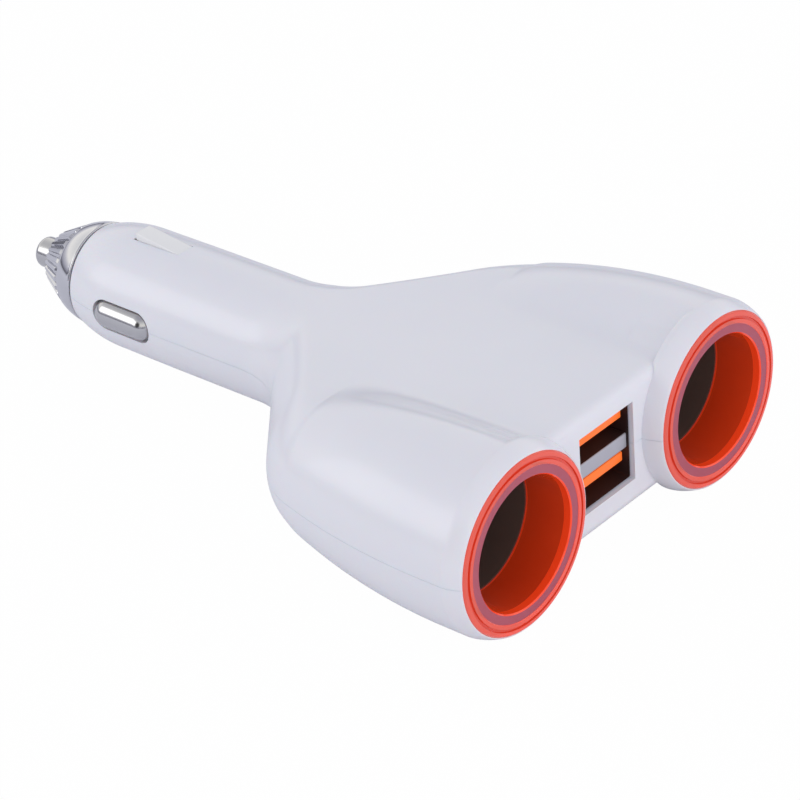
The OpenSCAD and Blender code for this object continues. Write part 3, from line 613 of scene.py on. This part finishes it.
# Side contacts: a pressed pill on a flange with a leg
def pill_mesh(name, r, span, x, y, n=48):
    points = []
    rings = []
    for i in range(n // 2 + 1):
        a = math.pi * i / (n // 2) - math.pi / 2
        steps = [(-span / 2, a)] if a < 0 else [(span / 2, a)]
        if i == n // 4:
            steps = [(-span / 2, 0.0), (span / 2, 0.0)]
        for shift, b in steps:
            rr = r * math.cos(b)
            ring = []
            for k in range(n):
                t = 2 * math.pi * k / n
                ring.append(len(points))
                points.append((x + rr * math.cos(t), y + shift + r * math.sin(b), rr * math.sin(t)))
            rings.append(ring)
    faces = []
    for a, b in zip(rings, rings[1:]):
        for k in range(n):
            j = (k + 1) % n
            faces.append((a[k], a[j], b[j], b[k]))
    faces.append(tuple(rings[0]))
    faces.append(tuple(reversed(rings[-1])))
    obj = new_mesh(name, points, faces)
    bm = bmesh.new()
    bm.from_mesh(obj.data)
    bmesh.ops.remove_doubles(bm, verts=bm.verts, dist=1e-7)
    bmesh.ops.recalc_face_normals(bm, faces=bm.faces)
    bm.to_mesh(obj.data)
    bm.free()
    return obj


def side_contact(name, s, body, node):
    bulge_r = slot_w / 2 - 0.2
    bulge_x = barrel_r + 1.05 - bulge_r
    span = slot_len - slot_w
    plate_x = 8.05
    plate_y0 = slot_y - slot_len / 2 - 1
    pill = pill_mesh(name, bulge_r, span, s * bulge_x, slot_y)
    inner = pill_mesh("inner", bulge_r - 0.4, span, s * bulge_x, slot_y)
    lo, hi = sorted((s * (plate_x - 0.1), s * -6))
    back = block("back", (lo, 10, -6), (hi, 60, 6))
    combine(pill, [inner, back], "DIFFERENCE")
    lo, hi = sorted((s * (plate_x - 0.4), s * plate_x))
    plate = block("plate", (lo, plate_y0, -3.1), (hi, slot_y + slot_len / 2 + 1, 3.1), 0.1, 2)
    leg = [(plate_x - 0.4, plate_y0 + 0.5), (plate_x, plate_y0 + 0.5), (plate_x, plate_y0 - 3), (6.4, 16),
           (6.4, 12), (6, 12), (6, 16.4), (plate_x - 0.4, plate_y0 - 2.6)]
    n = len(leg)
    points = [(s * x, y, z) for z in (-1.7, 1.7) for x, y in leg]
    faces = [tuple(range(n)), tuple(reversed(range(n, 2 * n)))]
    faces += [(k, (k + 1) % n, n + (k + 1) % n, n + k) for k in range(n)]
    join(pill, [plate, new_mesh("leg", points, faces)])
    dress(pill, body, node, nickel)


side_contact("side_pill_left", -1, "side_left", "side_contact_left")
side_contact("side_pill_right", 1, "side_right", "side_contact_right")

# Rings, sockets, bushes and centre contacts
rim_r = 12.3
step_d = 0.12
glow_d = 1.5
groove_r = 13.25
can_taper_d = 31.0
can_end_d = 39.5
can_end_r = 6.2


def paint(obj, materials, pick):
    """Several materials on one piece, chosen by each face's middle in millimetres."""
    obj.data.materials.clear()
    for m in materials:
        obj.data.materials.append(m)
    for f in obj.data.polygons:
        f.material_index = pick(f.center / MM)


for s, word in ((-1, "left"), (1, "right")):
    ring_profile = [(sleeve_r, front_d + 0.2), (ring_r, front_d + 0.2), (ring_r, 0.5)]
    ring_profile += arc(ring_r - 0.35, 0.45, 0.35, 0, -90, 5)
    ring_profile += [(groove_r + 0.25, 0.06), (groove_r + 0.15, 0.3), (groove_r - 0.15, 0.3),
                     (groove_r - 0.25, 0.02), (rim_r + 0.1, 0.0), (rim_r, 0.08)]
    ring_profile += [(rim_r, step_d), (socket_r + 0.2, step_d), (socket_r, step_d + 0.2), (socket_r, glow_d),
                     (socket_r, sleeve_d - 0.5), (socket_r + 0.25, sleeve_d), (sleeve_r, sleeve_d)]
    ring = revolve("ring_" + word, ring_profile, s * side, -neck_d, 160)
    dress(ring, "housing", "light_ring_" + word, ring_rim)

    def part_of_ring(c, s=s):
        r = math.hypot(c.x - s * side, c.z)
        d = c.y + neck_d
        # Groove faces take the painted shade, the bore's ends the painted glow band
        if groove_r - 0.27 < r < groove_r + 0.27 and d < 1:
            return 4
        if r > rim_r - 0.02:
            return 0
        if d < step_d + 0.02:
            return 1
        return 2 if d < glow_d or d > sleeve_d - 0.5 else 3

    paint(ring, [ring_rim, ring_step, ring_painted_glow, ring_bore, ring_groove_shade], part_of_ring)
    floor_d = can_end_d - can_t
    can_profile = [(socket_r, sleeve_d), (sleeve_r, sleeve_d), (sleeve_r, can_stop_d), (can_r, can_stop_d),
                   (can_r, can_taper_d), (can_end_r + can_t, floor_d), (can_end_r + can_t, can_end_d),
                   (can_end_r - 2, can_end_d), (can_end_r - 2, floor_d), (can_end_r, floor_d),
                   (socket_r, can_taper_d)]
    can = revolve("socket_can_" + word, can_profile, s * side, -neck_d, 128)
    dress(can, "housing", "socket_shell_" + word, dark_steel)
    tail = can_end_d + 1
    neck = can_end_r - 2.1
    head = can_end_d - 2.2
    bush_profile = [(1.6, head), (can_end_r - 0.6, head), (can_end_r - 0.4, can_end_d - 2.0),
                    (can_end_r - 0.4, floor_d), (neck, floor_d), (neck, can_end_d),
                    (can_end_r, can_end_d), (can_end_r, tail), (1.6, tail)]
    piece = revolve("socket_bush_" + word, bush_profile, s * side, -neck_d, 96)
    dress(piece, "housing", "socket_insulator_" + word, bush)
    pin_profile = [(0, head - 1.65), (0.9, head - 1.6), (1.7, head - 1.35), (2.6, head - 0.8), (3, head),
                   (1.5, head), (1.5, tail), (2.2, tail), (2.2, tail + 0.6), (0, tail + 0.6)]
    piece = revolve("socket_centre_" + word, pin_profile, s * side, -neck_d, 96)
    dress(piece, "housing", "socket_contact_" + word, brass)

# USB connector: folded shell, divider, tongues and contact strips
usb_t = 0.3
usb_len = 17.0
mouth_y = front_d + 0.6 - neck_d
in_w = usb_w - 2 * usb_t
in_h = usb_h - 2 * usb_t
port_h = 5.12
tongue_w = 11.1
tongue_t = 1.7
tongue_drop = 0.65
gap_h = in_h - 2 * port_h
port_tops = (usb_z + in_h / 2, usb_z + in_h / 2 - port_h - gap_h)
shell_box = block("usb_can", (-usb_w / 2, mouth_y, usb_z - usb_h / 2),
                  (usb_w / 2, mouth_y + usb_len, usb_z + usb_h / 2), 0.5, 4)
opening = block("opening", (-in_w / 2, mouth_y - 2, usb_z - in_h / 2),
                (in_w / 2, mouth_y + usb_len - usb_t, usb_z + in_h / 2), 0.25, 3)
combine(shell_box, [opening], "DIFFERENCE")
dress(shell_box, "housing", "usb_shell", steel)


# Front edge in the painted highlight steel, the inside in painted shade
def part_of_shell(c):
    inside = abs(c.x) < in_w / 2 + 0.1 and abs(c.z - usb_z) < in_h / 2 + 0.1
    if c.y < mouth_y + 0.4:
        return 1
    return 2 if inside else 0


paint(shell_box, [steel, steel_highlight, shade], part_of_shell)

low_z = port_tops[0] - port_h - gap_h
divider = block("usb_bridge", (-in_w / 2 + 0.05, mouth_y + 0.4, low_z),
                (in_w / 2 - 0.05, mouth_y + 12, low_z + gap_h), 0.22, 4)
dress(divider, "housing", "usb_divider", steel)
# Divider front in the painted highlight steel, the faces behind it in painted shade
paint(divider, [steel_highlight, shade], lambda c: 1 if c.y > mouth_y + 0.7 else 0)

tongues = block("usb_tongues", (-in_w / 2 + 0.05, mouth_y + 12, usb_z - in_h / 2 + 0.05),
                (in_w / 2 - 0.05, mouth_y + usb_len - usb_t - 0.05, usb_z + in_h / 2 - 0.05), 0.1, 2)
join(tongues, [block("tongue", (-tongue_w / 2, mouth_y + 0.9, top - tongue_drop - tongue_t),
                     (tongue_w / 2, mouth_y + 12.1, top - tongue_drop), 0.25, 3) for top in port_tops])
dress(tongues, "housing", "usb_insulator", orange)
paint(tongues, [orange, shade], lambda c: 1 if c.y > mouth_y + 11.95 else 0)

strips = None
for top in port_tops:
    for x in (-3.5, -1, 1, 3.5):
        under = top - tongue_drop - tongue_t
        y0 = mouth_y + 1.9
        line = [(y0, under), (y0 + 0.5, under - 0.2), (y0 + 10, under - 0.2), (y0 + 10, under)]
        strip = prism("strip", line, x - 0.5, x + 0.5)
        strips = strip if strips is None else join(strips, [strip])
strips.name = "usb_strips"
dress(strips, "housing", "usb_contacts", brass)

# Screws in the underside
screws = None
for s in (-1, 1):
    head = [(0, -8.2), (1.6, -8.2), (2.2, -7.9), (2.4, -7.3), (2.4, -6.6), (1.2, -6.6), (1.2, 5.5), (0, 5.5)]
    screw = revolve("screw", head, n=64)
    screw.data.transform(turn_up(s * screw_x, screw_y))
    screw.data.flip_normals()
    cross = [block("cross", (s * screw_x - a, screw_y - b, -9), (s * screw_x + a, screw_y + b, -7.5))
             for a, b in ((0.35, 1.5), (1.5, 0.35))]
    combine(screw, cross, "DIFFERENCE")
    screws = screw if screws is None else join(screws, [screw])
screws.name = "shell_screws"
dress(screws, "housing", "housing_screws", screw_steel)

# Solids that keep their own shape
kept = {"fuse_glass": glass, "fuse_ends": nickel, "tip_spring": spring_wire, "spring_seat": brass,
        "circuit_board": board, "inductor_core": ferrite, "inductor_coil": copper, "capacitors": can_alu,
        "converter_chips": chip, "ring_leds": lamp, "positive_leads": red_lead, "ground_leads": black_lead}
for name, mat in kept.items():
    nodes[name].data.materials.clear()
    nodes[name].data.materials.append(mat)

# Floor, white to the camera and with the object's soft shadow
floor_z = -15.75
floor = block("floor", (-3000, -3000, floor_z - 5), (3000, 3000, floor_z))
floor_mat = bpy.data.materials.new("floor")
floor_mat.use_nodes = True
tree = floor_mat.node_tree
tree.nodes.clear()
out = tree.nodes.new("ShaderNodeOutputMaterial")
mix = tree.nodes.new("ShaderNodeMixShader")
ray = tree.nodes.new("ShaderNodeLightPath")
half = tree.nodes.new("ShaderNodeMath")
half.operation = "MULTIPLY"
half.inputs[1].default_value = 0.985
diffuse = tree.nodes.new("ShaderNodeBsdfDiffuse")
diffuse.inputs["Color"].default_value = (0.86, 0.86, 0.87, 1)
glow = tree.nodes.new("ShaderNodeEmission")
glow.inputs["Color"].default_value = (1, 1, 1, 1)
glow.inputs["Strength"].default_value = 1.0
mirrored = tree.nodes.new("ShaderNodeBsdfDiffuse")
mirrored.inputs["Color"].default_value = (0.8, 0.8, 0.86, 1)
kind = tree.nodes.new("ShaderNodeMixShader")
tree.links.new(ray.outputs["Is Glossy Ray"], kind.inputs["Fac"])
tree.links.new(diffuse.outputs["BSDF"], kind.inputs[1])
tree.links.new(mirrored.outputs["BSDF"], kind.inputs[2])
tree.links.new(ray.outputs["Is Camera Ray"], half.inputs[0])
tree.links.new(half.outputs["Value"], mix.inputs["Fac"])
tree.links.new(kind.outputs["Shader"], mix.inputs[1])
tree.links.new(glow.outputs["Emission"], mix.inputs[2])
tree.links.new(mix.outputs["Shader"], out.inputs["Surface"])
floor.data.materials.append(floor_mat)

# World: white behind the object, a softer level of light on it
world = bpy.data.worlds.new("studio")
bpy.context.scene.world = world
world.use_nodes = True
tree = world.node_tree
tree.nodes.clear()
out = tree.nodes.new("ShaderNodeOutputWorld")
seen = tree.nodes.new("ShaderNodeBackground")
seen.inputs["Color"].default_value = (1, 1, 1, 1)
lit = tree.nodes.new("ShaderNodeBackground")
lit.inputs["Color"].default_value = (0.93, 0.945, 1.0, 1)
lit.inputs["Strength"].default_value = 0.76
ray = tree.nodes.new("ShaderNodeLightPath")
mix = tree.nodes.new("ShaderNodeMixShader")
place = tree.nodes.new("ShaderNodeTexCoord")
split = tree.nodes.new("ShaderNodeSeparateXYZ")
height = tree.nodes.new("ShaderNodeMapRange")
height.inputs["From Min"].default_value = -1.0
ramp = tree.nodes.new("ShaderNodeValToRGB")
# Height of a reflected ray and the light it meets: dark horizon, bright band, softer top
bands = [(-0.05, (0.3, 0.3, 0.34)), (0.0, (0.1, 0.1, 0.12)), (0.04, (0.2, 0.2, 0.24)),
         (0.09, (0.42, 0.42, 0.5)), (0.2, (0.7, 0.7, 0.76)), (0.3, (1.1, 1.08, 1.04)),
         (0.55, (0.9, 0.9, 0.9)), (0.85, (0.5, 0.5, 0.56))]
ramp.color_ramp.elements[0].position = 0.0
ramp.color_ramp.elements[0].color = (0.3, 0.3, 0.34, 1)
ramp.color_ramp.elements[1].position = 1.0
ramp.color_ramp.elements[1].color = (0.45, 0.45, 0.52, 1)
for z, tone in bands:
    ramp.color_ramp.elements.new((z + 1) / 2).color = (*tone, 1)
mirrored = tree.nodes.new("ShaderNodeBackground")
kind = tree.nodes.new("ShaderNodeMixShader")
tree.links.new(place.outputs["Generated"], split.inputs["Vector"])
tree.links.new(split.outputs["Z"], height.inputs["Value"])
tree.links.new(height.outputs["Result"], ramp.inputs["Fac"])
tree.links.new(ramp.outputs["Color"], mirrored.inputs["Color"])
# A dark card low on the near side, as a studio has behind its lens
card = tree.nodes.new("ShaderNodeVectorMath")
card.operation = "DOT_PRODUCT"
card.inputs[1].default_value = (-0.92, -0.05, 0.38)
edge = tree.nodes.new("ShaderNodeMapRange")
edge.inputs["From Min"].default_value = 0.93
edge.inputs["From Max"].default_value = 0.965
edge.inputs["To Min"].default_value = 1.0
edge.inputs["To Max"].default_value = 0.04
tree.links.new(place.outputs["Generated"], card.inputs[0])
tree.links.new(card.outputs["Value"], edge.inputs["Value"])
tree.links.new(edge.outputs["Result"], mirrored.inputs["Strength"])
tree.links.new(ray.outputs["Is Glossy Ray"], kind.inputs["Fac"])
tree.links.new(lit.outputs["Background"], kind.inputs[1])
tree.links.new(mirrored.outputs["Background"], kind.inputs[2])
tree.links.new(ray.outputs["Is Camera Ray"], mix.inputs["Fac"])
tree.links.new(kind.outputs["Shader"], mix.inputs[1])
tree.links.new(seen.outputs["Background"], mix.inputs[2])
tree.links.new(mix.outputs["Shader"], out.inputs["Surface"])


def softbox(name, way, distance, size, radiance, tint=(1, 1, 1)):
    """Rectangular lamp at a distance along a direction from the middle, facing it."""
    light = bpy.data.lights.new(name, "AREA")
    light.shape = "RECTANGLE"
    light.size = size[0]
    light.size_y = size[1]
    light.energy = radiance * math.pi * size[0] * size[1]
    light.color = tint
    obj = bpy.data.objects.new(name, light)
    obj.location = Vector(way).normalized() * distance
    obj.rotation_euler = (-obj.location).to_track_quat("-Z", "Y").to_euler()
    bpy.context.scene.collection.objects.link(obj)
    return obj


softbox("key", (-0.72, 0.57, 0.42), 0.45, (0.36, 0.22), 1.1)
near_left = softbox("near_left", (-0.85, -0.4, 0.35), 0.7, (0.4, 0.4), 0.45, (1, 0.95, 0.88))
near_left.visible_glossy = False
front = softbox("front", (0.1, -1, 0.15), 0.8, (0.6, 0.2), 3.6, (1, 0.99, 0.98))
front.visible_glossy = False

# Camera at the photograph's angle
camera_data = bpy.data.cameras.new("camera")
camera_data.lens = 159.48
camera_data.sensor_width = 36.0
camera_data.clip_start = 0.05
camera_data.clip_end = 20.0
camera = bpy.data.objects.new("camera", camera_data)
view = Vector((0.6323, 0.5742, -0.5201)).normalized()
right = Vector((0.6409, -0.7649, -0.0652))
right = (right - right.dot(view) * view).normalized()
up = right.cross(view)
place = (-0.35034, -0.33633, 0.28532)
camera.matrix_world = Matrix([[right[i], up[i], -view[i], place[i]] for i in range(3)] + [[0, 0, 0, 1]])
bpy.context.scene.collection.objects.link(camera)
bpy.context.scene.camera = camera
bpy.context.scene.view_settings.view_transform = "Standard"

bpy.context.view_layer.update()
